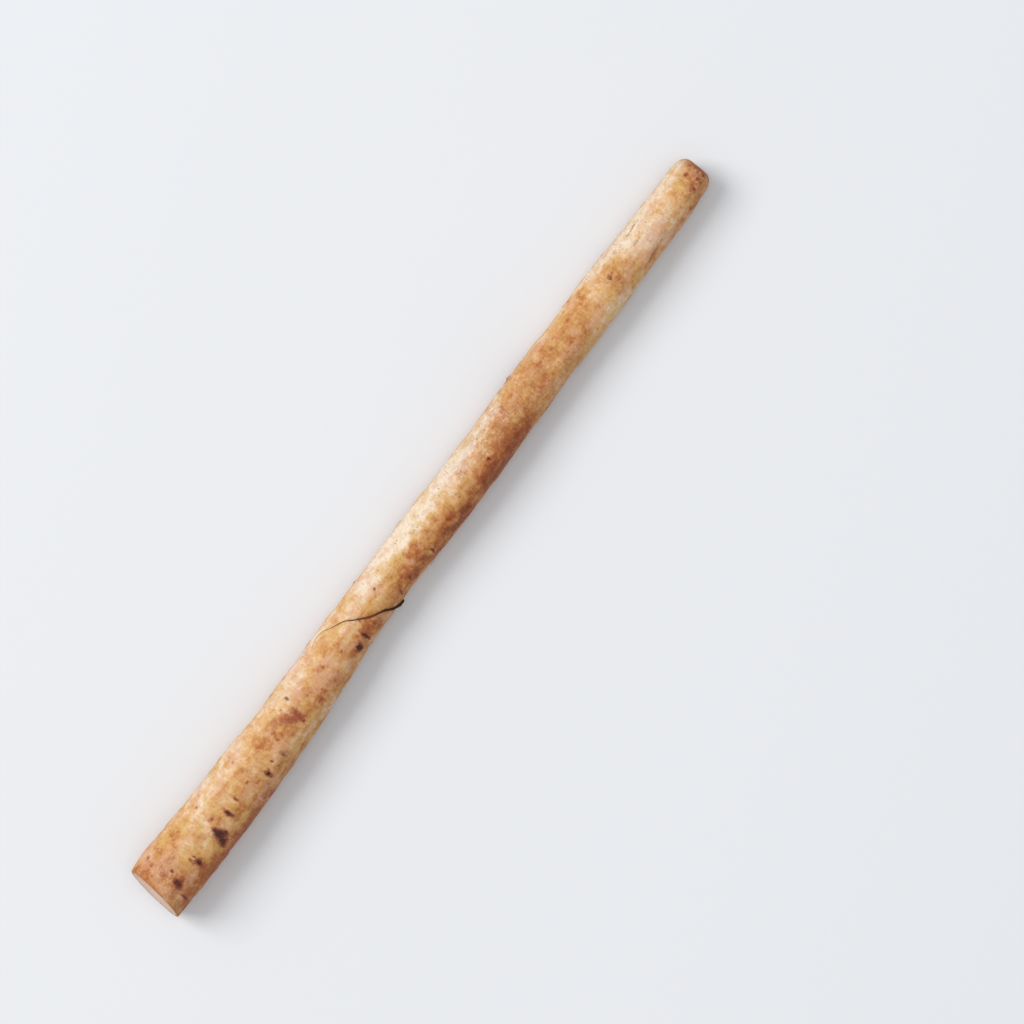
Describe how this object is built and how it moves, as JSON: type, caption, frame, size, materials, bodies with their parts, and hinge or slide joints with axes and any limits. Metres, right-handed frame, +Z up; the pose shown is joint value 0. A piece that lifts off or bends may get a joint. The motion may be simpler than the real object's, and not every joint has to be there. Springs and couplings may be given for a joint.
{
  "type": "burdock root",
  "caption": "Long, slender, tapering burdock root, washed and cut at both ends, with lens-shaped side-root scars and one clinging rootlet, lying on its side",
  "frame": {"origin": "middle of the underside of the bounding box, on the surface that the root lies on", "axes": "+X runs along the root from its thick crown end to its thin end, +Z is up, +Y is square to both"},
  "size_m": [0.4036, 0.0306, 0.0296],
  "materials": {
    "root": "matt"
  },
  "bodies": {
    "root": {"burdock_root": "root"}
  },
  "joints": []
}
